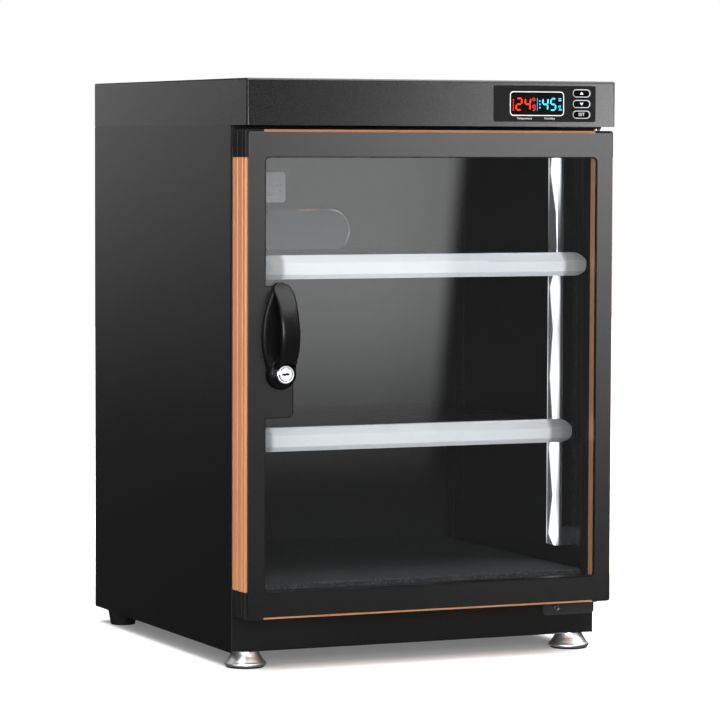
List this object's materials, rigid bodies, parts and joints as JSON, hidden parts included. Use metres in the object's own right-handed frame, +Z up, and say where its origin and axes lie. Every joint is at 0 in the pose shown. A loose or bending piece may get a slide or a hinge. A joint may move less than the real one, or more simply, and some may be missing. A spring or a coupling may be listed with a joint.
{
  "type": "camera dry cabinet",
  "caption": "Upright dry cabinet for cameras and lenses, with a glazed lockable door, sliding shelves, a light bar and a humidity controller in its cap.",
  "frame": {"origin": "centre of the bounding box at floor level, under the feet", "axes": "+Z up, +X to the right seen from the front, +Y from the door to the back"},
  "size_m": [0.4, 0.463, 0.578],
  "materials": {
    "body_steel": "fine-textured dark grey powder coat",
    "cap_steel": "fine-textured dark grey powder coat",
    "plinth_steel": "fine-textured dark grey powder coat",
    "inner_steel": "satin dark paint",
    "bracket_steel": "satin black paint",
    "tray_steel": "satin black paint",
    "zinc_steel": "bright zinc plate",
    "lock_chrome": "polished chrome plate",
    "foot_metal": "turned, satin",
    "foot_rubber": "matte black",
    "seal_rubber": "matte black",
    "copper_aluminium": "copper-coloured satin anodising",
    "corner_plastic": "satin black",
    "door_glass": "polished, with a black printed border",
    "handle_plastic": "polished black",
    "rail_plastic": "satin white",
    "panel_plastic": "satin black",
    "button_plastic": "satin black with a light rim",
    "window_plastic": "polished smoked",
    "module_plastic": "matte black",
    "board_laminate": "green solder mask",
    "inlet_plastic": "matte black",
    "light_aluminium": "satin anodising",
    "light_diffuser": "white diffuser, lit",
    "dryer_plastic": "satin grey",
    "ring_chrome": "bright plated",
    "sensor_plastic": "satin white",
    "mat_foam": "speckled closed-cell foam"
  },
  "bodies": {
    "cabinet": {"left_side_panel": "body_steel", "right_side_panel": "body_steel", "back_panel": "body_steel", "top_cap": "cap_steel", "base_pan": "plinth_steel", "floor_plate": "inner_steel", "header_panel": "inner_steel", "inner_back_panel": "inner_steel", "upper_hinge_leaf": "bracket_steel", "lower_hinge_bracket": "bracket_steel", "shelf_uprights": "bracket_steel", "shelf_runners": "bracket_steel", "hinge_screws": "bracket_steel", "back_screws": "zinc_steel", "hinge_pins": "zinc_steel", "lock_keeper": "zinc_steel", "front_feet": "foot_metal", "rear_feet": "foot_rubber", "front_foot_pads": "foot_rubber", "control_bezel": "panel_plastic", "display_window": "window_plastic", "display_module": "module_plastic", "control_board": "board_laminate", "power_inlet": "inlet_plastic", "light_bar_housing": "light_aluminium", "light_bar_brackets": "light_aluminium", "light_bar_diffuser": "light_diffuser", "dryer_cover": "dryer_plastic", "dryer_ring": "ring_chrome", "sensor_cover": "sensor_plastic", "floor_mat": "mat_foam"},
    "door": {"door_glass": "door_glass", "door_seal": "seal_rubber", "left_profile": "copper_aluminium", "right_profile": "copper_aluminium", "top_profile": "copper_aluminium", "bottom_profile": "copper_aluminium", "top_left_corner": "corner_plastic", "top_right_corner": "corner_plastic", "bottom_left_corner": "corner_plastic", "bottom_right_corner": "corner_plastic", "door_handle": "handle_plastic", "handle_screw": "zinc_steel", "lock_barrel": "lock_chrome", "lock_nut": "zinc_steel"},
    "lock": {"lock_plug": "lock_chrome", "lock_cam": "zinc_steel", "cam_nut": "zinc_steel"},
    "upper_shelf": {"upper_shelf_tray": "tray_steel", "upper_shelf_rail": "rail_plastic"},
    "lower_shelf": {"lower_shelf_tray": "tray_steel", "lower_shelf_rail": "rail_plastic"},
    "up_button": {"up_button": "button_plastic"},
    "down_button": {"down_button": "button_plastic"},
    "set_button": {"set_button": "button_plastic"}
  },
  "joints": [
    {"name": "door_hinge", "type": "hinge", "parent": "cabinet", "child": "door", "pos_m": [0.195, -0.17245, 0.2905], "axis": [0, 0, 1], "range_deg": [0, 110]},
    {"name": "lock_turn", "type": "hinge", "parent": "door", "child": "lock", "pos_m": [-0.164, -0.20445, 0.292], "axis": [0, 1, 0], "range_deg": [0, 90]},
    {"name": "upper_shelf_slide", "type": "slide", "parent": "cabinet", "child": "upper_shelf", "axis": [0, -1, 0], "range_m": [-0.04, 0.012]},
    {"name": "lower_shelf_slide", "type": "slide", "parent": "cabinet", "child": "lower_shelf", "axis": [0, -1, 0], "range_m": [-0.011, 0.041]},
    {"name": "up_button_press", "type": "slide", "parent": "cabinet", "child": "up_button", "axis": [0, 1, 0], "range_m": [0, 0.0008], "stiffness_N_per_m": 300, "springref_m": -0.0005},
    {"name": "down_button_press", "type": "slide", "parent": "cabinet", "child": "down_button", "axis": [0, 1, 0], "range_m": [0, 0.0008], "stiffness_N_per_m": 300, "springref_m": -0.0005},
    {"name": "set_button_press", "type": "slide", "parent": "cabinet", "child": "set_button", "axis": [0, 1, 0], "range_m": [0, 0.0008], "stiffness_N_per_m": 300, "springref_m": -0.0005}
  ]
}
